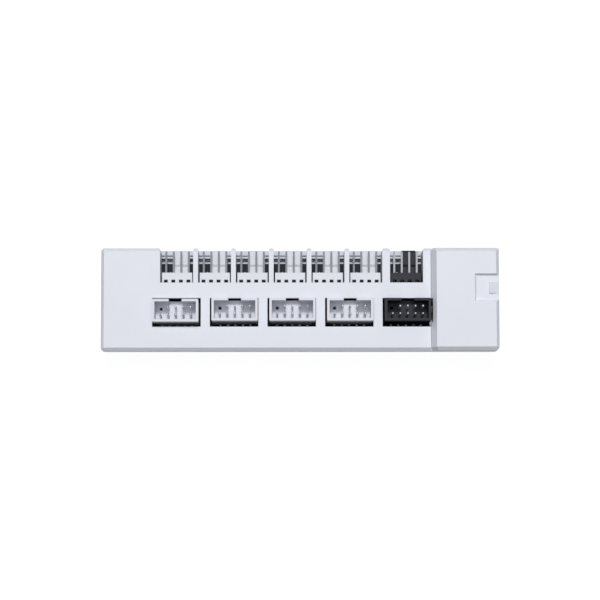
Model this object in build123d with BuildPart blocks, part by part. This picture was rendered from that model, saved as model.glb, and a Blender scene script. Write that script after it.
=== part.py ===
from build123d import *
import os

os.makedirs("parts", exist_ok=True)

# A fan and USB hub for the inside of a desktop computer: a two-piece moulded case, a circuit
# board, a row of right-angle fan headers on the front edge, a row of upright USB headers
# that stand through the cover, and a power inlet in the right-hand end.
# Millimetres, X along the case, Y towards the fan headers, Z up from the resting face.

# Pins and headers
pin_pitch = 2.54
pin_size = 0.64
pin_tip = 0.2                 # bevel at a pin's free end
pin_fit = 0.03                # room round a pin in its moulding
fan_count = 6
fan_ways = 4
usb_count = 5
usb_ways = 5

# Fan headers, lying on the board with their pins along +Y
fan_base_depth = 3.35
fan_base_height = 5.6
fan_pin_height = 3.4          # pin centre above the board
fan_pin_reach = 7.6           # pin beyond the front of the base
fan_comb_width = 1.3          # slots in the back, where the pins turn down
fan_comb_depth = 1.0
fan_wall_width = 4.7          # friction wall that the plug's ribs ride on
fan_wall_offset = 1.27        # its centre, from the header's centre
fan_wall_rise = 0.2           # under side above the board
fan_wall_thickness = 0.85
fan_nib_height = 0.35         # locking nib on the friction wall
fan_nib_start = 2.75          # from the front of the base
fan_nib_ramp = 0.7
fan_wall_lead = 0.8           # lead-in at the free end of the wall
fan_wall_reach = 8.35         # friction wall beyond the front of the base
fan_tail = 1.0                # pin below the board

# Case openings round the fan headers
fan_side_gap = 0.47           # from a header's base to the side of its notch
fan_back_gap = 0.45           # from a header's base to the back of its notch
rib_width = 1.6               # between two fan notches
input_rib_width = 2.6         # between the last fan notch and the input's notch
rib_round = 0.7               # rounded free end of a rib
fan_front_inset = 0.05        # friction wall's end behind the sill's front edge

# USB headers
usb_length = 15.4
usb_width = 7.6
usb_height = 11.2             # rim above the board
usb_wall = 0.8
usb_corner = 0.35
usb_depth = 6.2               # socket floor below the rim
usb_key_width = 4.35
usb_tip_drop = 0.5            # pin tip below the rim
usb_standoff = 0.75           # body above the board
usb_foot_width = 1.2          # nubs at both ends that stand on the board
usb_leg_reach = 2.7           # soldered foot of a pin, out from its row
usb_blank_size = 1.0          # square hole in place of the missing pin
usb_gap_left = 0.65           # round a header in its window
usb_gap_right = 0.2
usb_gap_front = 0.4
usb_gap_back = 1.7
first_usb_x = -0.5            # first header, off its place in its window's slack
first_usb_y = -0.35

# Case
end_margin = 19.85            # plain cover at the left-hand end
window_spacing = 5.2          # cover between the fan notches and the USB windows
back_margin = 8.1             # cover behind the USB windows
block_gap = 2.7               # cover between the input's notch and the raised block
inlet_bay = 8.1               # inside the block, from its foot to the power inlet
block_rise = 2.8
block_slope = 1.6             # run of the block's sloping side
block_lean = 0.5              # run of the block's front, which leans back to its bevel
floor_thickness = 1.4
board_gap = 1.6               # under the board
board_thickness = 1.6
cover_headroom = 8.4          # cover's top above the board
cover_wall = 1.5
cover_plate = 1.5
skirt_height = 3.75           # cover's side wall
corner_radius = 1.2
edge_bevel = 1.05             # round the cover's top
foot_inset = 1.3              # tray's draught, from the parting line to the resting face
foot_bevel = 0.5
lip_thickness = 0.6           # locating lip inside the cover's wall
lip_rise = 1.0
lip_gap = 0.1
sill_reach = 0.4              # tray's sill beyond the cover's front
sill_draught = 0.3
groove_width = 0.45           # along the sill, in front of the lip
groove_depth = 1.2
rib_lift = 0.4                # ribs above the sill
foot_line_width = 0.2         # shadow line along the block's foot
foot_line_depth = 1.0
relief_gap = 0.25             # cut into the block's slope beside the last USB header
relief_reach = 0.85

# Board
board_end_gap = 0.45          # to the lip at the left-hand end
board_back_gap = 0.5
board_front_inset = 4.05      # board's front edge behind the case front
board_under_inlet = 8.0       # board below the power inlet
pin_hole_radius = 0.5
hole_sides = 8                # hidden holes are drawn with flats
shelf_seat = 0.8              # width of board that lies on a shelf
shelf_front = 0.8             # shelf beyond the board's front edge

# Screws and their posts
post_radius = 2.3
post_gap = 0.2                # round a post in the board
pilot_radius = 1.15
pilot_depth = 6.0
boss_radius = 3.3
screw_radius = 1.1
screw_hole_radius = 1.3
screw_head_radius = 2.1
screw_head_height = 1.1
screw_head_gap = 0.2
screw_seat = 1.6              # head's seat above the resting face
screw_length = 5.5
cross_width = 0.5
cross_length = 2.2
cross_depth = 0.6
left_post_inset = 9.0         # from the left-hand end
post_back_inset = 5.7         # from the case back
post_front_inset = 6.2        # from the case front
right_post_inset = 3.4        # from the block's foot

# Power inlet, its mouth flush with the right-hand end
inlet_width = 23.0
inlet_height = 8.6
inlet_length = 14.5
inlet_front_gap = 0.2         # to the tray's front wall
inlet_wall = 1.1
inlet_plate = 1.2             # below and above the mouth
inlet_depth = 8.5
inlet_gap = 0.15              # round the inlet in the case
tongue_width = 20.4
tongue_thickness = 1.25
tongue_inset = 0.8            # tongue's end behind the mouth
tongue_key = 1.1              # hook at one end of the tongue
latch_width = 9.2             # recess in the block for the plug's latch
latch_length = 8.2
latch_depth = 1.0
latch_round = 0.9             # round its floor
latch_offset = 0.1            # its centre, from the inlet's centre
catch_width = 3.75
catch_length = 3.3
catch_height = 0.7
contact_count = 15
contact_pitch = 1.27
contact_width = 0.84
contact_thickness = 0.25
contact_fit = 0.03
contact_tip = 0.7             # contact's end behind the tongue's end
contact_foot = 0.85           # soldered foot behind the inlet

# Parts soldered to the board, out of sight under the cover
hub_chip_size = 5.0
hub_chip_height = 0.9
hub_chip_inset = 4.5          # from the board's left-hand edge
chip_mark_radius = 0.3        # dimple beside the first terminal
chip_mark_depth = 0.1
chip_mark_inset = 0.9         # dimple's centre, from both edges
buffer_chip_size = 3.0
buffer_chip_height = 0.8
crystal_length = 10.8
crystal_width = 3.9
crystal_height = 3.4
crystal_flange = 0.4
crystal_flange_height = 0.5
crystal_inset = 11.0          # from the board's left-hand edge
can_radius = 3.15
can_height = 5.8
can_base = 6.6
can_base_height = 0.8
can_base_corner = 1.2
can_edge = 0.4
can_spacing = 8.2
can_offset = -0.7             # middle of the two, from the case's centre line
chip_length = 2.0             # small chip resistors and capacitors
chip_width = 1.25
resistor_height = 0.5
capacitor_height = 0.9
fuse_length = 4.5
fuse_width = 3.2
fuse_height = 0.9
back_row_inset = 5.75         # row of small parts behind the USB headers

# Heights
board_bottom = floor_thickness + board_gap
board_top = board_bottom + board_thickness
cover_top = board_top + cover_headroom
block_top = cover_top + block_rise
parting = cover_top - skirt_height
sill_top = board_top
rib_bottom = sill_top + rib_lift
inlet_roof = board_top + inlet_height
latch_floor = block_top - latch_depth

# Plan of the case, worked out from what it holds
fan_length = fan_ways * pin_pitch
notch_width = fan_length + 2 * fan_side_gap
fan_pitch = notch_width + rib_width
input_pitch = notch_width + input_rib_width
fan_row = notch_width + (fan_count - 1) * fan_pitch + input_pitch
block_length = inlet_bay + inlet_length
case_length = end_margin + fan_row + block_gap + block_length
notch_depth = fan_back_gap + fan_base_depth + fan_wall_reach + fan_front_inset - sill_reach
window_depth = usb_width + usb_gap_front + usb_gap_back
case_width = notch_depth + window_spacing + window_depth + back_margin
case_left = -case_length / 2
case_right = case_length / 2
case_middle = -sill_reach / 2
case_front = case_middle + case_width / 2
case_back = case_middle - case_width / 2

# Places along X
fan_row_left = case_left + end_margin
fan_row_right = fan_row_left + fan_row
fan_first = fan_row_left + notch_width / 2
fan_places = [fan_first + i * fan_pitch for i in range(fan_count)]
fan_places.append(fan_places[-1] + input_pitch)
window_pitch = (fan_places[-1] - fan_first) / (usb_count - 1)
window_length = usb_length + usb_gap_left + usb_gap_right
usb_shift = (usb_gap_left - usb_gap_right) / 2
window_places = [fan_first + i * window_pitch for i in range(usb_count)]
usb_places = [x + usb_shift for x in window_places]
block_foot = fan_row_right + block_gap
block_edge = block_foot + block_slope

# Places along Y
notch_back = case_front - notch_depth
fan_base_back = notch_back + fan_back_gap
fan_base_front = fan_base_back + fan_base_depth
window_front = notch_back - window_spacing
window_centre = window_front - window_depth / 2
usb_centre = window_front - usb_gap_front - usb_width / 2
usb_spots = [(x, usb_centre) for x in usb_places]
usb_spots[0] = (usb_places[0] + first_usb_x, usb_centre + first_usb_y)
board_front = case_front - board_front_inset
pocket_inset = cover_wall + lip_gap + lip_thickness
board_back = case_back + pocket_inset + board_back_gap
board_left = case_left + pocket_inset + board_end_gap
inlet_centre = case_front - pocket_inset - inlet_front_gap - inlet_width / 2
latch_centre = inlet_centre + latch_offset
inlet_back = case_right - inlet_length
board_right = inlet_back + board_under_inlet

post_places = [
    (case_left + left_post_inset, case_back + post_back_inset),
    (case_left + left_post_inset, case_front - post_front_inset),
    (block_foot + right_post_inset, case_back + post_back_inset),
    (block_foot + right_post_inset, case_front - post_front_inset),
]

# Names of the like pieces, from left to right
fan_names = [f"fan_header_{i + 1}" for i in range(fan_count)] + ["pwm_input_header"]
fan_pin_names = [f"fan_pins_{i + 1}" for i in range(fan_count)] + ["pwm_input_pins"]
usb_names = [f"usb_shroud_{i + 1}" for i in range(usb_count - 1)] + ["usb_input_shroud"]
usb_pin_names = [f"usb_pins_{i + 1}" for i in range(usb_count - 1)] + ["usb_input_pins"]


def save(part, name):
    """Label a finished piece and write it to its own file."""
    part.label = name
    export_step(part, f"parts/{name}.step")


# Base tray: a deep moulding with drafted sides, a locating lip inside the cover's wall, shelves
# and bosses for the board, and a low sill that stands out in front of the fan headers.
with BuildPart() as base_tray:
    with BuildSketch(Plane((0, case_middle, 0))):
        RectangleRounded(case_length - 2 * foot_inset, case_width - 2 * foot_inset, corner_radius)
    with BuildSketch(Plane((0, case_middle, parting))):
        RectangleRounded(case_length, case_width, corner_radius)
    loft(ruled=True)
    chamfer(base_tray.faces().sort_by(Axis.Z)[0].edges(), foot_bevel)
    lip_inset = cover_wall + lip_gap
    with BuildSketch(Plane((0, case_middle, parting))):
        Rectangle(case_length - 2 * lip_inset, case_width - 2 * lip_inset)
    extrude(amount=lip_rise)
    # sill in front of the fan headers, with the wall above it taken away
    sill_left = fan_row_left - rib_width
    sill_length = fan_row + 2 * rib_width
    with BuildSketch(Plane((sill_left, case_front, 0), (0, 1, 0), (1, 0, 0))):
        with BuildLine():
            Polyline(
                (-pocket_inset, 0),
                (sill_reach - sill_draught - foot_bevel, 0),
                (sill_reach - sill_draught, foot_bevel),
                (sill_reach, sill_top),
                (-pocket_inset, sill_top),
                close=True,
            )
        make_face()
    extrude(amount=sill_length)
    with BuildSketch(Plane((sill_left, case_front, sill_top))):
        Rectangle(sill_length, 2 * pocket_inset, align=(Align.MIN, Align.CENTER))
    extrude(amount=parting + lip_rise - sill_top, mode=Mode.SUBTRACT)
    with BuildSketch(Plane((sill_left, case_front - lip_inset, sill_top))):
        Rectangle(sill_length, groove_width, align=(Align.MIN, Align.MIN))
    extrude(amount=-groove_depth, mode=Mode.SUBTRACT)
    # room for the board and its parts
    with BuildSketch(Plane((0, case_middle, floor_thickness))):
        Rectangle(case_length - 2 * pocket_inset, case_width - 2 * pocket_inset)
    extrude(amount=parting + lip_rise - floor_thickness, mode=Mode.SUBTRACT)
    # way out for the power inlet
    with BuildSketch(Plane((case_right, inlet_centre, board_top - inlet_gap))):
        Rectangle(2 * pocket_inset, inlet_width + 2 * inlet_gap)
    extrude(amount=inlet_height, mode=Mode.SUBTRACT)
    # shelves under the board's long edges
    shelf_length = board_right - board_left
    shelf_back = case_back + pocket_inset
    with BuildSketch(Plane((board_left, 0, floor_thickness))):
        with Locations((0, board_front + shelf_front)):
            Rectangle(shelf_length, shelf_front + shelf_seat, align=(Align.MIN, Align.MAX))
        with Locations((0, shelf_back)):
            Rectangle(shelf_length, board_back_gap + shelf_seat, align=(Align.MIN, Align.MIN))
    extrude(amount=board_gap)
    # bosses, each drilled for a screw from below
    with BuildSketch(Plane.XY.offset(floor_thickness)):
        with Locations(*post_places):
            Circle(boss_radius)
    extrude(amount=board_gap)
    with BuildSketch(Plane.XY):
        with Locations(*post_places):
            RegularPolygon(screw_hole_radius, hole_sides, major_radius=False)
    extrude(amount=board_bottom, mode=Mode.SUBTRACT)
    with BuildSketch(Plane.XY):
        with Locations(*post_places):
            Circle(screw_head_radius + screw_head_gap)
    extrude(amount=screw_seat, mode=Mode.SUBTRACT)
save(base_tray.part, "base_tray")

# Circuit board: drilled for the fan pins and for the cover's screw posts.
with BuildPart() as circuit_board:
    with BuildSketch(Plane((board_left, board_back, board_bottom))):
        Rectangle(board_right - board_left, board_front - board_back, align=(Align.MIN, Align.MIN))
    extrude(amount=board_thickness)
    with BuildSketch(Plane.XY.offset(board_bottom)):
        with Locations(*post_places):
            RegularPolygon(post_radius + post_gap, hole_sides, major_radius=False)
        for fan_x in fan_places:
            with Locations((fan_x, fan_base_back + fan_comb_depth / 2)):
                with GridLocations(pin_pitch, 0, fan_ways, 1):
                    RegularPolygon(pin_hole_radius, hole_sides, major_radius=False)
    extrude(amount=board_thickness, mode=Mode.SUBTRACT)
save(circuit_board.part, "circuit_board")

# Fan headers: a moulded base with a comb of slots in its back and a friction wall with a
# locking nib under the pins.
fan_pin_level = board_top + fan_pin_height
for fan_name, fan_x in zip(fan_names, fan_places):
    with BuildPart() as fan_header:
        with BuildSketch(Plane((fan_x, fan_base_back, board_top))):
            Rectangle(fan_length, fan_base_depth, align=(Align.CENTER, Align.MIN))
            with GridLocations(pin_pitch, 0, fan_ways, 1):
                Rectangle(fan_comb_width, 2 * fan_comb_depth, mode=Mode.SUBTRACT)
        extrude(amount=fan_base_height)
        # side profile of the friction wall
        wall_plane = Plane((fan_x + fan_wall_offset, fan_base_front, board_top), (0, 1, 0), (1, 0, 0))
        wall_low = fan_wall_rise
        wall_face = wall_low + fan_wall_thickness
        nib_face = wall_face + fan_nib_height
        with BuildSketch(wall_plane):
            with BuildLine():
                Polyline(
                    (0, wall_low),
                    (fan_wall_reach, wall_low),
                    (fan_wall_reach, wall_face),
                    (fan_wall_reach - fan_wall_lead, nib_face),
                    (fan_nib_start + fan_nib_ramp, nib_face),
                    (fan_nib_start, wall_face),
                    (0, wall_face),
                    close=True,
                )
            make_face()
        extrude(amount=fan_wall_width / 2, both=True)
        # ways through the base for the pins
        with BuildSketch(Plane((fan_x, fan_base_back, fan_pin_level), (1, 0, 0), (0, 1, 0))):
            with GridLocations(pin_pitch, 0, fan_ways, 1):
                Rectangle(pin_size + 2 * pin_fit, pin_size + 2 * pin_fit)
        extrude(amount=fan_base_depth, mode=Mode.SUBTRACT)
    save(fan_header.part, fan_name)

# Fan pins: square wire, straight out of the base and turned down through the board.
fan_tail_y = fan_base_back + fan_comb_depth / 2
fan_tail_z = board_bottom - fan_tail
fan_tip_y = fan_base_front + fan_pin_reach
for fan_pin_name, fan_x in zip(fan_pin_names, fan_places):
    with BuildPart() as fan_pins:
        for way in range(fan_ways):
            pin_x = fan_x + (way - (fan_ways - 1) / 2) * pin_pitch
            with BuildSketch(Plane((pin_x, 0, 0), (0, 1, 0), (1, 0, 0))):
                with BuildLine():
                    Polyline(
                        (fan_tail_y - pin_size / 2, fan_tail_z),
                        (fan_tail_y + pin_size / 2, fan_tail_z),
                        (fan_tail_y + pin_size / 2, fan_pin_level - pin_size / 2),
                        (fan_tip_y, fan_pin_level - pin_size / 2),
                        (fan_tip_y, fan_pin_level + pin_size / 2),
                        (fan_tail_y + pin_size / 2, fan_pin_level + pin_size / 2),
                        (fan_tail_y - pin_size / 2, fan_pin_level - pin_size / 2),
                        close=True,
                    )
                make_face()
            extrude(amount=pin_size / 2, both=True)
        chamfer(fan_pins.faces().group_by(Axis.Y)[-1].edges(), pin_tip)
    save(fan_pins.part, fan_pin_name)

# USB headers: an upright moulded socket on end nubs, keyed in its front wall, with an empty
# hole where one pin is left out.
usb_way_spots = []
for way in range(usb_ways):
    for row in (1, -1):
        usb_way_spots.append(((way - (usb_ways - 1) / 2) * pin_pitch, row * pin_pitch / 2))
usb_blank_spot = usb_way_spots[0]
usb_pin_spots = usb_way_spots[1:]

for usb_name, (usb_x, usb_y) in zip(usb_names, usb_spots):
    usb_plane = Plane((usb_x, usb_y, board_top))
    with BuildPart() as usb_shroud:
        with BuildSketch(usb_plane.offset(usb_standoff)):
            RectangleRounded(usb_length, usb_width, usb_corner)
        extrude(amount=usb_height - usb_standoff)
        with BuildSketch(usb_plane):
            with GridLocations(usb_length - usb_foot_width, 0, 2, 1):
                Rectangle(usb_foot_width, usb_width - 2 * usb_corner)
        extrude(amount=usb_standoff)
        with BuildSketch(usb_plane.offset(usb_height - usb_depth)):
            Rectangle(usb_length - 2 * usb_wall, usb_width - 2 * usb_wall)
            with Locations((0, usb_width / 2)):
                Rectangle(usb_key_width, 2 * usb_wall)
        extrude(amount=usb_depth, mode=Mode.SUBTRACT)
        with BuildSketch(usb_plane.offset(usb_standoff)):
            with Locations(*usb_pin_spots):
                Rectangle(pin_size + 2 * pin_fit, pin_size + 2 * pin_fit)
            with Locations(usb_blank_spot):
                Rectangle(usb_blank_size, usb_blank_size)
        extrude(amount=usb_height - usb_standoff - usb_depth, mode=Mode.SUBTRACT)
    save(usb_shroud.part, usb_name)

# USB pins: square wire, bevelled at the top and turned outwards on the board as a foot.
usb_tip = usb_height - usb_tip_drop
for usb_pin_name, (usb_x, usb_y) in zip(usb_pin_names, usb_spots):
    with BuildPart() as usb_pins:
        for spot_x, spot_y in usb_pin_spots:
            outward = 1 if spot_y > 0 else -1
            pin_foot = (usb_x + spot_x, usb_y + spot_y, board_top)
            with BuildSketch(Plane(pin_foot, (0, outward, 0), (outward, 0, 0))):
                with BuildLine():
                    Polyline(
                        (-pin_size / 2, 0),
                        (usb_leg_reach, 0),
                        (usb_leg_reach, pin_size),
                        (pin_size / 2, pin_size),
                        (pin_size / 2, usb_tip),
                        (-pin_size / 2, usb_tip),
                        close=True,
                    )
                make_face()
            extrude(amount=pin_size / 2, both=True)
        chamfer(usb_pins.faces().group_by(Axis.Z)[-1].edges(), pin_tip)
    save(usb_pins.part, usb_pin_name)

# Power inlet: a moulded socket in the end of the case, with a hooked tongue that carries the
# contacts.
tongue_top = board_top + (inlet_height + tongue_thickness) / 2
tongue_end = case_right - tongue_inset
contact_end = tongue_end - contact_tip
mouth_back = case_right - inlet_depth
with BuildPart() as sata_inlet:
    with BuildSketch(Plane((inlet_back, inlet_centre, board_top))):
        Rectangle(inlet_length, inlet_width, align=(Align.MIN, Align.CENTER))
    extrude(amount=inlet_height)
    with BuildSketch(Plane((mouth_back, inlet_centre, board_top + inlet_plate))):
        Rectangle(inlet_depth, inlet_width - 2 * inlet_wall, align=(Align.MIN, Align.CENTER))
    extrude(amount=inlet_height - 2 * inlet_plate, mode=Mode.SUBTRACT)
    with BuildSketch(Plane((mouth_back, inlet_centre, tongue_top))):
        Rectangle(tongue_end - mouth_back, tongue_width, align=(Align.MIN, Align.CENTER))
    extrude(amount=-tongue_thickness)
    with BuildSketch(Plane((mouth_back, inlet_centre - tongue_width / 2, tongue_top - tongue_thickness))):
        Rectangle(tongue_end - mouth_back, tongue_thickness, align=(Align.MIN, Align.MIN))
    extrude(amount=-tongue_key)
    # channels for the contacts, from the back of the inlet to near the tongue's end
    with BuildSketch(Plane((inlet_back, inlet_centre, tongue_top))):
        with GridLocations(0, contact_pitch, 1, contact_count):
            Rectangle(
                contact_end + contact_fit - inlet_back,
                contact_width + 2 * contact_fit,
                align=(Align.MIN, Align.CENTER),
            )
    extrude(amount=-contact_thickness - contact_fit, mode=Mode.SUBTRACT)
save(sata_inlet.part, "sata_inlet")

# Inlet contacts: strips that lie in the tongue, with a foot on the board behind the inlet.
contact_back = inlet_back - contact_thickness
with BuildPart() as sata_contacts:
    for way in range(contact_count):
        contact_y = inlet_centre + (way - (contact_count - 1) / 2) * contact_pitch
        with BuildSketch(Plane((0, contact_y, 0), (1, 0, 0), (0, -1, 0))):
            with BuildLine():
                Polyline(
                    (contact_end, tongue_top),
                    (contact_back, tongue_top),
                    (contact_back, board_top + contact_thickness),
                    (contact_back - contact_foot, board_top + contact_thickness),
                    (contact_back - contact_foot, board_top),
                    (inlet_back, board_top),
                    (inlet_back, tongue_top - contact_thickness),
                    (contact_end, tongue_top - contact_thickness),
                    close=True,
                )
            make_face()
        extrude(amount=contact_width / 2, both=True)
save(sata_contacts.part, "sata_contacts")

# Top cover: a moulded shell with a raised block over the power inlet, a comb of ribs between
# the fan headers, windows for the USB headers, a recess with a catch for the power plug's
# latch, and posts for the screws.
with BuildPart() as top_cover:
    with BuildSketch(Plane((0, case_middle, 0), (1, 0, 0), (0, -1, 0))):
        with BuildLine():
            Polyline(
                (case_left, parting),
                (case_right, parting),
                (case_right, block_top),
                (block_edge, block_top),
                (block_foot, cover_top),
                (case_left, cover_top),
                close=True,
            )
        make_face()
    extrude(amount=case_width / 2, both=True)
    fillet(top_cover.edges().filter_by(Axis.Z), corner_radius)
    top_faces = top_cover.faces().filter_by(lambda f: f.normal_at().Z > 0.1)
    outer_edges = [
        e
        for f in top_faces
        for e in f.edges()
        if abs(e.tangent_at(0.5).Y) < 0.99 or abs(e.center().X) > case_right - edge_bevel
    ]
    chamfer(outer_edges, edge_bevel)
    # front of the block, leaning back from the cover's level to a bevel of its own
    with BuildSketch(Plane((block_foot, case_front, cover_top), (0, 1, 0), (1, 0, 0))):
        with BuildLine():
            Polyline(
                (0, 0),
                (0, block_rise),
                (-block_lean - edge_bevel, block_rise),
                (-block_lean, block_rise - edge_bevel),
                close=True,
            )
        make_face()
    extrude(amount=block_length, mode=Mode.SUBTRACT)
    # shadow line along the foot of the block
    with BuildSketch(Plane((block_foot, case_middle, cover_top))):
        Rectangle(foot_line_width, case_width, align=(Align.MAX, Align.CENTER))
    extrude(amount=-foot_line_depth, mode=Mode.SUBTRACT)
    # hollow under the cover and under the block
    with BuildSketch(Plane((0, case_middle, parting))):
        Rectangle(case_length - 2 * cover_wall, case_width - 2 * cover_wall)
    extrude(amount=cover_top - cover_plate - parting, mode=Mode.SUBTRACT)
    hollow_left = block_edge + cover_plate
    with BuildSketch(Plane((hollow_left, case_middle, parting))):
        Rectangle(
            case_right - cover_wall - hollow_left,
            case_width - 2 * cover_wall,
            align=(Align.MIN, Align.CENTER),
        )
    extrude(amount=block_top - cover_plate - parting, mode=Mode.SUBTRACT)
    # ribs beside the fan headers, cut from one deep comb
    with BuildSketch(Plane((sill_left, case_front, rib_bottom))):
        Rectangle(sill_length, notch_depth, align=(Align.MIN, Align.MAX))
    extrude(amount=cover_top - cover_plate - rib_bottom)
    for fan_x in fan_places:
        with BuildSketch(Plane((fan_x, 0, rib_bottom))):
            with BuildLine():
                notch_half = notch_width / 2
                mouth_start = case_front - rib_round
                mouth_end = case_front + rib_round
                Polyline((-notch_half, mouth_start), (-notch_half, notch_back), (notch_half, notch_back),
                         (notch_half, mouth_start))
                RadiusArc((notch_half, mouth_start), (notch_half + rib_round, case_front), rib_round)
                Polyline((notch_half + rib_round, case_front), (notch_half + rib_round, mouth_end),
                         (-notch_half - rib_round, mouth_end), (-notch_half - rib_round, case_front))
                RadiusArc((-notch_half - rib_round, case_front), (-notch_half, mouth_start), rib_round)
            make_face()
        extrude(amount=cover_top - rib_bottom, mode=Mode.SUBTRACT)
    # windows for the USB headers, and a relief in the block's slope beside the last one
    with BuildSketch(Plane((0, window_centre, cover_top))):
        with Locations(*[(x, 0) for x in window_places]):
            Rectangle(window_length, window_depth)
    extrude(amount=-cover_plate, mode=Mode.SUBTRACT)
    relief_right = usb_places[-1] + usb_length / 2 + relief_reach
    with BuildSketch(Plane((relief_right, usb_centre, cover_top - cover_plate))):
        Rectangle(usb_length, usb_width + 2 * relief_gap, align=(Align.MAX, Align.CENTER))
    extrude(amount=cover_plate + block_rise, mode=Mode.SUBTRACT)
    # way out for the power inlet
    with BuildSketch(Plane((case_right, inlet_centre, parting))):
        Rectangle(2 * cover_wall, inlet_width + 2 * inlet_gap)
    extrude(amount=inlet_roof + inlet_gap - parting, mode=Mode.SUBTRACT)
    # recess for the plug's latch, over a thicker stretch of the block's roof
    with BuildSketch(Plane((case_right, latch_centre, inlet_roof + inlet_gap))):
        Rectangle(latch_length + cover_plate, latch_width + 2 * cover_plate, align=(Align.MAX, Align.CENTER))
    extrude(amount=block_top - cover_plate - inlet_roof - inlet_gap)
    with BuildSketch(Plane((case_right, latch_centre, latch_floor))):
        Rectangle(2 * latch_length, latch_width)
    extrude(amount=latch_depth, mode=Mode.SUBTRACT)
    latch_middle = (case_right - latch_length / 2, latch_centre, latch_floor)
    latch_face = top_cover.faces().filter_by(Axis.Z).sort_by_distance(latch_middle)[0]
    fillet(latch_face.edges().sort_by(Axis.X)[:-1], latch_round)
    # catch: a ramp that rises from the end of the case to a square back
    catch_toe = case_right - edge_bevel + latch_depth
    with BuildSketch(Plane((catch_toe, latch_centre, latch_floor), (1, 0, 0), (0, -1, 0))):
        with BuildLine():
            Polyline((0, 0), (-catch_length, catch_height), (-catch_length, 0), close=True)
        make_face()
    extrude(amount=catch_width / 2, both=True)
    # screw posts
    with BuildSketch(Plane.XY.offset(board_bottom)):
        with Locations(*post_places):
            Circle(post_radius)
    extrude(amount=cover_top - cover_plate - board_bottom)
    with BuildSketch(Plane.XY.offset(board_bottom)):
        with Locations(*post_places):
            RegularPolygon(pilot_radius, hole_sides, major_radius=False)
    extrude(amount=pilot_depth, mode=Mode.SUBTRACT)
save(top_cover.part, "top_cover")

# Case screws: cheese heads with a cross recess, driven up from below into the posts.
with BuildPart() as case_screws:
    with BuildSketch(Plane.XY.offset(screw_seat)):
        with Locations(*post_places):
            Circle(screw_head_radius)
    extrude(amount=-screw_head_height)
    with BuildSketch(Plane.XY.offset(screw_seat)):
        with Locations(*post_places):
            Circle(screw_radius)
    extrude(amount=screw_length)
    with BuildSketch(Plane.XY.offset(screw_seat - screw_head_height)):
        with Locations(*post_places):
            Rectangle(cross_length, cross_width)
            Rectangle(cross_width, cross_length)
    extrude(amount=cross_depth, mode=Mode.SUBTRACT)
save(case_screws.part, "case_screws")

# USB hub chip: a flat leadless package with a dimple beside its first terminal.
with BuildPart() as usb_hub_chip:
    with BuildSketch(Plane((board_left + hub_chip_inset, 0, board_top))):
        Rectangle(hub_chip_size, hub_chip_size)
    extrude(amount=hub_chip_height)
    hub_mark = hub_chip_size / 2 - chip_mark_inset
    with BuildSketch(Plane((board_left + hub_chip_inset, 0, board_top + hub_chip_height))):
        with Locations((-hub_mark, hub_mark)):
            Circle(chip_mark_radius)
    extrude(amount=-chip_mark_depth, mode=Mode.SUBTRACT)
save(usb_hub_chip.part, "usb_hub_chip")

# Fan signal buffer: a smaller leadless chip behind the fan headers.
strip_y = (notch_back + window_front) / 2
buffer_x = (fan_places[-2] + fan_places[-1]) / 2
with BuildPart() as fan_buffer_chip:
    with BuildSketch(Plane((buffer_x, strip_y, board_top))):
        Rectangle(buffer_chip_size, buffer_chip_size)
    extrude(amount=buffer_chip_height)
    buffer_mark = buffer_chip_size / 2 - chip_mark_inset
    with BuildSketch(Plane((buffer_x, strip_y, board_top + buffer_chip_height))):
        with Locations((-buffer_mark, buffer_mark)):
            Circle(chip_mark_radius)
    extrude(amount=-chip_mark_depth, mode=Mode.SUBTRACT)
save(fan_buffer_chip.part, "fan_buffer_chip")

# Crystal: a drawn metal can on a flanged base, beside the hub chip.
with BuildPart() as hub_crystal:
    with BuildSketch(Plane((board_left + crystal_inset, 0, board_top))):
        SlotOverall(crystal_length + 2 * crystal_flange, crystal_width + 2 * crystal_flange, rotation=90)
    extrude(amount=crystal_flange_height)
    with BuildSketch(Plane((board_left + crystal_inset, 0, board_top))):
        SlotOverall(crystal_length, crystal_width, rotation=90)
    extrude(amount=crystal_height)
    chamfer(hub_crystal.faces().sort_by(Axis.Z)[-1].edges(), crystal_flange)
save(hub_crystal.part, "hub_crystal")

# Bulk capacitors: aluminium cans on moulded bases, beside the power inlet.
with BuildPart() as bulk_capacitors:
    for can_y in (can_offset - can_spacing / 2, can_offset + can_spacing / 2):
        with BuildSketch(Plane((block_foot + right_post_inset, can_y, board_top))) as can_foot:
            Rectangle(can_base, can_base)
            chamfer(can_foot.vertices().group_by(Axis.X)[-1], can_base_corner)
        extrude(amount=can_base_height)
        with BuildSketch(Plane((block_foot + right_post_inset, can_y, board_top))):
            Circle(can_radius)
        extrude(amount=can_height)
    chamfer(bulk_capacitors.faces().group_by(Axis.Z)[-1].edges(), can_edge)
save(bulk_capacitors.part, "bulk_capacitors")

# Chip capacitors: one behind each USB socket, across its supply.
back_row_y = case_back + back_row_inset
with BuildPart() as chip_capacitors:
    with BuildSketch(Plane((0, back_row_y, board_top))):
        with Locations(*[(x, 0) for x in usb_places[:-1]]):
            Rectangle(chip_length, chip_width)
    extrude(amount=capacitor_height)
save(chip_capacitors.part, "chip_capacitors")

# Resettable fuse: behind the USB input.
with BuildPart() as power_fuse:
    with BuildSketch(Plane((usb_places[-1], back_row_y, board_top))):
        Rectangle(fuse_length, fuse_width)
    extrude(amount=fuse_height)
save(power_fuse.part, "power_fuse")

# Chip resistors: one behind each fan header, in its signal line.
with BuildPart() as chip_resistors:
    with BuildSketch(Plane((0, strip_y, board_top))):
        with Locations(*[(x, 0) for x in fan_places]):
            Rectangle(chip_length, chip_width)
    extrude(amount=resistor_height)
save(chip_resistors.part, "chip_resistors")
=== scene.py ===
import math

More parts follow.
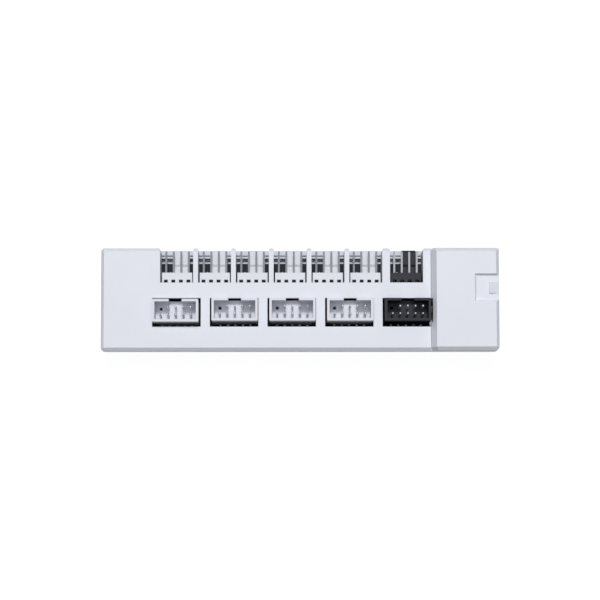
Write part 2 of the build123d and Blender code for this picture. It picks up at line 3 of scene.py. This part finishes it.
import bpy
from mathutils import Euler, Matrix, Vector


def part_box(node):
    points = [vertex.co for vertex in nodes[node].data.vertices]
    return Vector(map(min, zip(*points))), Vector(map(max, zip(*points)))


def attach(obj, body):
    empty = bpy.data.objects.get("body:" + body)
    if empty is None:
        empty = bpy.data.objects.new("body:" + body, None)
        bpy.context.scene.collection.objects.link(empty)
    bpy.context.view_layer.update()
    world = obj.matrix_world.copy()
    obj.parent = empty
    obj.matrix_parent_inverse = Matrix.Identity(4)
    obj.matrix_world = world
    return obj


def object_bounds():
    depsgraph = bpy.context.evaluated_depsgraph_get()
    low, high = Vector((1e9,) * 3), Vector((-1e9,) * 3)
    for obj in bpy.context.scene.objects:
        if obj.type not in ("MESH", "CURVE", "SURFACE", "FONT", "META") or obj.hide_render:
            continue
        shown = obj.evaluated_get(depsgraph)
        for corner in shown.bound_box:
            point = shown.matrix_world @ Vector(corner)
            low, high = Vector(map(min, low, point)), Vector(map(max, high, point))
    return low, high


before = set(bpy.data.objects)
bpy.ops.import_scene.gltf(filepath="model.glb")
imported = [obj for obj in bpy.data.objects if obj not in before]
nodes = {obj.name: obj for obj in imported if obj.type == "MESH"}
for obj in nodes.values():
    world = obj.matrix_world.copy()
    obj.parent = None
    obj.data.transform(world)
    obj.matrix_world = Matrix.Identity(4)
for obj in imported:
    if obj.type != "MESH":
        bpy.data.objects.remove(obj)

cad_low, cad_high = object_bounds()
MM = 0.001


# Base tray
# The lower half of the case, a deep tray injection moulded in plastic, coloured a little darker and
# greyer than the cover.
# Its mould was spark eroded, so the skin has a fine matt grain and a hint of flow.
def moulded_plastic(name, pale, deep, roughness, grain, grain_depth, shine=0.5):
    """Plastic with a slow drift of shade from the melt's flow and a fine grain from the mould."""
    material = bpy.data.materials.new(name)
    material.use_nodes = True
    tree = material.node_tree
    shader = tree.nodes["Principled BSDF"]
    place = tree.nodes.new("ShaderNodeTexCoord")
    flow = tree.nodes.new("ShaderNodeTexNoise")
    flow.inputs["Scale"].default_value = 70.0
    flow.inputs["Detail"].default_value = 3.0
    shade = tree.nodes.new("ShaderNodeValToRGB")
    shade.color_ramp.elements[0].position = 0.3
    shade.color_ramp.elements[0].color = (*deep, 1.0)
    shade.color_ramp.elements[1].position = 0.7
    shade.color_ramp.elements[1].color = (*pale, 1.0)
    skin = tree.nodes.new("ShaderNodeTexNoise")
    skin.inputs["Scale"].default_value = 1.0 / grain
    skin.inputs["Detail"].default_value = 2.0
    gloss = tree.nodes.new("ShaderNodeMapRange")
    gloss.inputs["To Min"].default_value = roughness - 0.06
    gloss.inputs["To Max"].default_value = roughness + 0.06
    bump = tree.nodes.new("ShaderNodeBump")
    bump.inputs["Distance"].default_value = grain_depth
    tree.links.new(place.outputs["Object"], flow.inputs["Vector"])
    tree.links.new(place.outputs["Object"], skin.inputs["Vector"])
    tree.links.new(flow.outputs["Fac"], shade.inputs["Fac"])
    tree.links.new(shade.outputs["Color"], shader.inputs["Base Color"])
    tree.links.new(skin.outputs["Fac"], gloss.inputs["Value"])
    tree.links.new(gloss.outputs["Result"], shader.inputs["Roughness"])
    tree.links.new(skin.outputs["Fac"], bump.inputs["Height"])
    tree.links.new(bump.outputs["Normal"], shader.inputs["Normal"])
    shader.inputs["IOR"].default_value = 1.53
    shader.inputs["Specular IOR Level"].default_value = shine
    return material


def dress(node, material):
    """Give a piece of the frame its finish."""
    nodes[node].material_slots[0].material = material


tray_grey = moulded_plastic(
    "tray_grey", (0.620, 0.642, 0.712), (0.602, 0.625, 0.698), 0.5, 0.25 * MM, 0.006 * MM
)
dress("base_tray", tray_grey)


# Circuit board
# A sheet of glass-fibre laminate under black solder mask, resting on the tray's shelves.
# Copper tracks run under the mask as faint raised lines.
TRACK_PITCH = 3.0 * MM
WEAVE_PITCH = 0.4 * MM
TRACK_RISE = 0.03 * MM
board_black = bpy.data.materials.new("board_black")
board_black.use_nodes = True
tree = board_black.node_tree
shader = tree.nodes["Principled BSDF"]
place = tree.nodes.new("ShaderNodeTexCoord")
tracks = tree.nodes.new("ShaderNodeTexBrick")
tracks.inputs["Scale"].default_value = 1.0 / TRACK_PITCH
tracks.inputs["Mortar Size"].default_value = 0.06
tracks.inputs["Mortar Smooth"].default_value = 0.4
tracks.inputs["Color1"].default_value = (0.008, 0.013, 0.022, 1.0)
tracks.inputs["Color2"].default_value = (0.010, 0.015, 0.025, 1.0)
tracks.inputs["Mortar"].default_value = (0.016, 0.022, 0.032, 1.0)
weave = tree.nodes.new("ShaderNodeTexNoise")
weave.inputs["Scale"].default_value = 1.0 / WEAVE_PITCH
gloss = tree.nodes.new("ShaderNodeMapRange")
gloss.inputs["To Min"].default_value = 0.52
gloss.inputs["To Max"].default_value = 0.66
bump = tree.nodes.new("ShaderNodeBump")
bump.inputs["Distance"].default_value = TRACK_RISE
tree.links.new(place.outputs["Object"], tracks.inputs["Vector"])
tree.links.new(place.outputs["Object"], weave.inputs["Vector"])
tree.links.new(tracks.outputs["Color"], shader.inputs["Base Color"])
tree.links.new(weave.outputs["Fac"], gloss.inputs["Value"])
tree.links.new(gloss.outputs["Result"], shader.inputs["Roughness"])
tree.links.new(tracks.outputs["Fac"], bump.inputs["Height"])
tree.links.new(bump.outputs["Normal"], shader.inputs["Normal"])
shader.inputs["Specular IOR Level"].default_value = 0.2
dress("circuit_board", board_black)


# Chips and fuse
# Leadless packages moulded in black epoxy, soldered to the board under the cover.
chip_black = moulded_plastic(
    "chip_black", (0.020, 0.020, 0.022), (0.014, 0.014, 0.016), 0.55, 0.06 * MM, 0.004 * MM
)
for chip in ("usb_hub_chip", "fan_buffer_chip", "power_fuse"):
    dress(chip, chip_black)


# Cans, crystal and chip passives
# Drawn aluminium cans and fired ceramic chips, soldered beside the chips.
def worked_metal(name, pale, deep, roughness, grain):
    """Metal with drawing marks: a stretched grain that shifts its shade and its gloss."""
    material = bpy.data.materials.new(name)
    material.use_nodes = True
    tree = material.node_tree
    shader = tree.nodes["Principled BSDF"]
    place = tree.nodes.new("ShaderNodeTexCoord")
    marks = tree.nodes.new("ShaderNodeTexNoise")
    marks.inputs["Scale"].default_value = 1.0 / grain
    marks.inputs["Detail"].default_value = 3.0
    shade = tree.nodes.new("ShaderNodeValToRGB")
    shade.color_ramp.elements[0].position = 0.35
    shade.color_ramp.elements[0].color = (*deep, 1.0)
    shade.color_ramp.elements[1].position = 0.65
    shade.color_ramp.elements[1].color = (*pale, 1.0)
    gloss = tree.nodes.new("ShaderNodeMapRange")
    gloss.inputs["To Min"].default_value = roughness - 0.08
    gloss.inputs["To Max"].default_value = roughness + 0.08
    bump = tree.nodes.new("ShaderNodeBump")
    bump.inputs["Distance"].default_value = 0.004 * MM
    tree.links.new(place.outputs["Object"], marks.inputs["Vector"])
    tree.links.new(marks.outputs["Fac"], shade.inputs["Fac"])
    tree.links.new(shade.outputs["Color"], shader.inputs["Base Color"])
    tree.links.new(marks.outputs["Fac"], gloss.inputs["Value"])
    tree.links.new(gloss.outputs["Result"], shader.inputs["Roughness"])
    tree.links.new(marks.outputs["Fac"], bump.inputs["Height"])
    tree.links.new(bump.outputs["Normal"], shader.inputs["Normal"])
    shader.inputs["Metallic"].default_value = 1.0
    return material


can_aluminium = worked_metal("can_aluminium", (0.78, 0.79, 0.80), (0.68, 0.69, 0.71), 0.32, 0.3 * MM)
dress("bulk_capacitors", can_aluminium)
dress("hub_crystal", can_aluminium)
chip_ceramic = moulded_plastic(
    "chip_ceramic", (0.30, 0.22, 0.15), (0.25, 0.18, 0.12), 0.45, 0.08 * MM, 0.004 * MM
)
dress("chip_capacitors", chip_ceramic)
dress("chip_resistors", chip_ceramic)


# Fan headers
# Four-way right-angle headers moulded in white nylon, the pulse input's in black nylon.
# Each sits on the board's front edge with a friction wall under its pins.
header_white = moulded_plastic(
    "header_white", (0.700, 0.715, 0.775), (0.672, 0.688, 0.752), 0.42, 0.18 * MM, 0.004 * MM
)
header_black = moulded_plastic(
    "header_black", (0.019, 0.021, 0.031), (0.015, 0.017, 0.026), 0.50, 0.18 * MM, 0.004 * MM, 0.22
)
FAN_COUNT = 6
for n in range(1, FAN_COUNT + 1):
    dress(f"fan_header_{n}", header_white)
dress("pwm_input_header", header_black)


# Fan pins
# Square brass wire, tin plated, pressed through the header's base and soldered below. Their tin is
# painted far darker than plain tin, a painted shade for the dim reflections they show; the black
# header's pins carry a little less of this painted shade.
PIN_GRAIN = 0.25 * MM
pin_tin = worked_metal("pin_tin", (0.232, 0.237, 0.260), (0.195, 0.200, 0.222), 0.62, PIN_GRAIN)
for n in range(1, FAN_COUNT + 1):
    dress(f"fan_pins_{n}", pin_tin)
input_pin_tin_painted_shade = worked_metal(
    "input_pin_tin_painted_shade", (0.370, 0.376, 0.400), (0.315, 0.321, 0.345), 0.62, PIN_GRAIN
)
dress("pwm_input_pins", input_pin_tin_painted_shade)


# USB headers
# Upright ten-way sockets moulded in nylon, with a key slot and one pin left out. Their pins
# are plain bright tin, without the painted shade given to the fan pins.
bright_tin = worked_metal(
    "bright_tin", (0.790, 0.797, 0.826), (0.690, 0.697, 0.726), 0.50, PIN_GRAIN
)
USB_COUNT = 4
for n in range(1, USB_COUNT + 1):
    dress(f"usb_shroud_{n}", header_white)
    dress(f"usb_pins_{n}", bright_tin)
dress("usb_input_shroud", header_black)
dress("usb_input_pins", bright_tin)


# USB solder
# A bead of tin solder at the end of each pin's foot, where it wicked up from the pad.
# The feet stand in two rows, and the front row is one short where a pin is left out.
PIN_SIZE = 0.64 * MM
PIN_PITCH = 2.54 * MM
BACK_PINS = 5
FRONT_PINS = 4
BEAD_RADIUS = 0.8 * PIN_SIZE
BEAD_STRETCH = (0.9, 1.2, 1.3)
board_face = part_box("circuit_board")[1].z


def solder_row(first, count):
    """A row of beads along X, each a half dome drawn out along its foot."""
    bpy.ops.object.select_all(action="DESELECT")
    bpy.ops.mesh.primitive_uv_sphere_add(segments=12, ring_count=8, radius=BEAD_RADIUS)
    row = bpy.context.object
    bpy.ops.object.mode_set(mode="EDIT")
    bpy.ops.mesh.select_all(action="SELECT")
    bpy.ops.mesh.bisect(plane_co=(0, 0, 0), plane_no=(0, 0, 1), clear_inner=True, use_fill=True)
    bpy.ops.mesh.select_all(action="SELECT")
    bpy.ops.transform.resize(value=BEAD_STRETCH)
    bpy.ops.transform.translate(value=first)
    bpy.ops.object.mode_set(mode="OBJECT")
    array = row.modifiers.new("row", "ARRAY")
    array.count = count
    array.use_relative_offset = False
    array.use_constant_offset = True
    array.constant_offset_displace = (PIN_PITCH, 0, 0)
    bpy.ops.object.modifier_apply(modifier="row")
    bpy.ops.object.shade_smooth_by_angle(angle=math.radians(50))
    return row


for n in range(1, USB_COUNT + 2):
    low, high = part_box(f"usb_pins_{n}" if n <= USB_COUNT else "usb_input_pins")
    first_x = low.x + PIN_SIZE / 2
    back_row = solder_row((first_x, low.y, board_face), BACK_PINS)
    front_row = solder_row((first_x + PIN_PITCH, high.y, board_face), FRONT_PINS)
    bpy.ops.object.select_all(action="DESELECT")
    front_row.select_set(True)
    back_row.select_set(True)
    bpy.context.view_layer.objects.active = back_row
    bpy.ops.object.join()
    back_row.name = f"usb_solder_{n}"
    back_row.data.materials.append(bright_tin)
    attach(back_row, "root")


# Pin marks
# A small plain triangle in pale ink, screen printed on the board beside the first pin of
# each fan header.
INK_THICKNESS = 0.03 * MM
INK_EDGE = 0.3 * INK_THICKNESS
MARK_RADIUS = 0.5 * MM
MARK_GAP = 0.75 * MM
PIN_REACH = 7.6 * MM
for n in range(1, FAN_COUNT + 2):
    low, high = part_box(f"fan_pins_{n}" if n <= FAN_COUNT else "pwm_input_pins")
    base_front = high.y - PIN_REACH
    mark_x = low.x + 0.5 * PIN_SIZE + 0.45 * PIN_PITCH
    bpy.ops.object.select_all(action="DESELECT")
    bpy.ops.mesh.primitive_cylinder_add(vertices=3, radius=MARK_RADIUS, depth=INK_THICKNESS)
    mark = bpy.context.object
    mark.name = f"pin_mark_{n}"
    bpy.ops.object.mode_set(mode="EDIT")
    bpy.ops.mesh.select_all(action="SELECT")
    bpy.ops.mesh.bevel(offset=INK_EDGE, segments=1)
    bpy.ops.transform.translate(
        value=(mark_x, base_front + MARK_GAP, board_face + INK_THICKNESS / 2)
    )
    bpy.ops.object.mode_set(mode="OBJECT")
    mark.data.materials.append(header_white)
    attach(mark, "root")


# Power inlet
# A moulded socket let into the end of the case, with gilt strips along its tongue.
inlet_white = moulded_plastic(
    "inlet_white", (0.740, 0.760, 0.820), (0.718, 0.740, 0.805), 0.46, 0.2 * MM, 0.005 * MM
)
contact_gold = worked_metal("contact_gold", (0.80, 0.60, 0.28), (0.70, 0.50, 0.22), 0.28, 0.2 * MM)
dress("sata_inlet", inlet_white)
dress("sata_contacts", contact_gold)


# Top cover
# The upper half of the case, moulded as the tray is but a little paler, and screwed to it from
# below.
case_white = moulded_plastic(
    "case_white", (0.740, 0.765, 0.835), (0.722, 0.748, 0.822), 0.5, 0.25 * MM, 0.006 * MM
)
dress("top_cover", case_white)


# Case screws
# Pan-headed steel screws, zinc plated, driven up into the cover's posts.
screw_steel = worked_metal("screw_steel", (0.60, 0.61, 0.62), (0.48, 0.49, 0.50), 0.34, 0.15 * MM)
dress("case_screws", screw_steel)


# Floor
# A plain pale sheet under the part, wide enough to fill the view from any side.
FLOOR_SIZE = 8.0
bpy.ops.object.select_all(action="DESELECT")
bpy.ops.mesh.primitive_plane_add(size=FLOOR_SIZE)
floor = bpy.context.object
floor.name = "floor"
floor_finish = bpy.data.materials.new("floor_finish")
floor_finish.use_nodes = True
shader = floor_finish.node_tree.nodes["Principled BSDF"]
shader.inputs["Base Color"].default_value = (0.2, 0.2, 0.2, 1.0)
shader.inputs["Roughness"].default_value = 0.9
shader.inputs["Specular IOR Level"].default_value = 0.0
shader.inputs["Emission Color"].default_value = (1.0, 1.0, 1.0, 1.0)
shader.inputs["Emission Strength"].default_value = 0.91
floor.data.materials.append(floor_finish)
floor.visible_diffuse = False
floor.visible_glossy = False


# Bounce card
# A glowing card just under the floor, a little larger than the part, that throws light up its
# sides as a white table does. The floor hides it from the camera.
CARD_MARGIN = 45.0 * MM
CARD_DEPTH = 0.1 * MM
bpy.ops.object.select_all(action="DESELECT")
bpy.ops.mesh.primitive_plane_add(size=1.0)
card = bpy.context.object
card.name = "bounce_card"
card_length = cad_high.x - cad_low.x + 2 * CARD_MARGIN
card_width = cad_high.y - cad_low.y + 2 * CARD_MARGIN
bpy.ops.object.mode_set(mode="EDIT")
bpy.ops.mesh.select_all(action="SELECT")
bpy.ops.transform.resize(value=(card_length, card_width, 1.0))
bpy.ops.transform.translate(value=(0.0, 0.0, -CARD_DEPTH))
bpy.ops.object.mode_set(mode="OBJECT")
card_glow = bpy.data.materials.new("card_glow")
card_glow.use_nodes = True
shader = card_glow.node_tree.nodes["Principled BSDF"]
shader.inputs["Emission Color"].default_value = (1.0, 1.0, 1.0, 1.0)
shader.inputs["Emission Strength"].default_value = 0.4
card.data.materials.append(card_glow)


# Light
# One compact softbox up on the fan side for the shadows, a broad one overhead to fill them, a
# low one at the back, and an even dim room around them that looks pale to the camera alone.
def softbox(name, place, size, power):
    """A square lamp at a place, facing the part."""
    lamp = bpy.data.lights.new(name, "AREA")
    lamp.size = size
    lamp.energy = power
    holder = bpy.data.objects.new(name, lamp)
    holder.location = place
    holder.rotation_euler = Vector(place).to_track_quat("Z", "Y").to_euler()
    bpy.context.collection.objects.link(holder)


KEY_SLANT = math.radians(28.0)
KEY_DISTANCE = 1.4
key_place = (0.0, KEY_DISTANCE * math.sin(KEY_SLANT), KEY_DISTANCE * math.cos(KEY_SLANT))
softbox("key_light", key_place, 0.2, 11.0)
softbox("top_light", (0.0, 0.1, 1.6), 1.6, 10.0)
softbox("back_fill", (0.0, -1.2, 0.35), 0.8, 1.4)

room = bpy.data.worlds.new("room")
bpy.context.scene.world = room
room.use_nodes = True
tree = room.node_tree
dim = tree.nodes["Background"]
dim.inputs["Color"].default_value = (0.96, 0.97, 1.0, 1.0)
dim.inputs["Strength"].default_value = 0.125
pale = tree.nodes.new("ShaderNodeBackground")
pale.inputs["Color"].default_value = (1.0, 1.0, 1.0, 1.0)
path = tree.nodes.new("ShaderNodeLightPath")
mix = tree.nodes.new("ShaderNodeMixShader")
tree.links.new(path.outputs["Is Camera Ray"], mix.inputs["Fac"])
tree.links.new(dim.outputs["Background"], mix.inputs[1])
tree.links.new(pale.outputs["Background"], mix.inputs[2])
tree.links.new(mix.outputs["Shader"], tree.nodes["World Output"].inputs["Surface"])
bpy.context.scene.view_settings.view_transform = "Standard"


# Camera
# High above the part and a little to its back, with a long lens that is shifted to keep the
# ends of the case upright, as in the photograph.
CAMERA_TILT = math.radians(3.956)
CAMERA_LEAN = math.radians(-0.574)
CAMERA_TURN = math.radians(-0.099)
camera = bpy.data.cameras.new("camera")
camera.sensor_width = 36.0
camera.lens = 99.3
camera.shift_y = 0.225
camera_holder = bpy.data.objects.new("camera", camera)
camera_holder.rotation_euler = Euler((CAMERA_TILT, CAMERA_LEAN, CAMERA_TURN))
camera_holder.location = Vector((-5.60, -83.94, 563.38)) * MM
bpy.context.collection.objects.link(camera_holder)
bpy.context.scene.camera = camera_holder
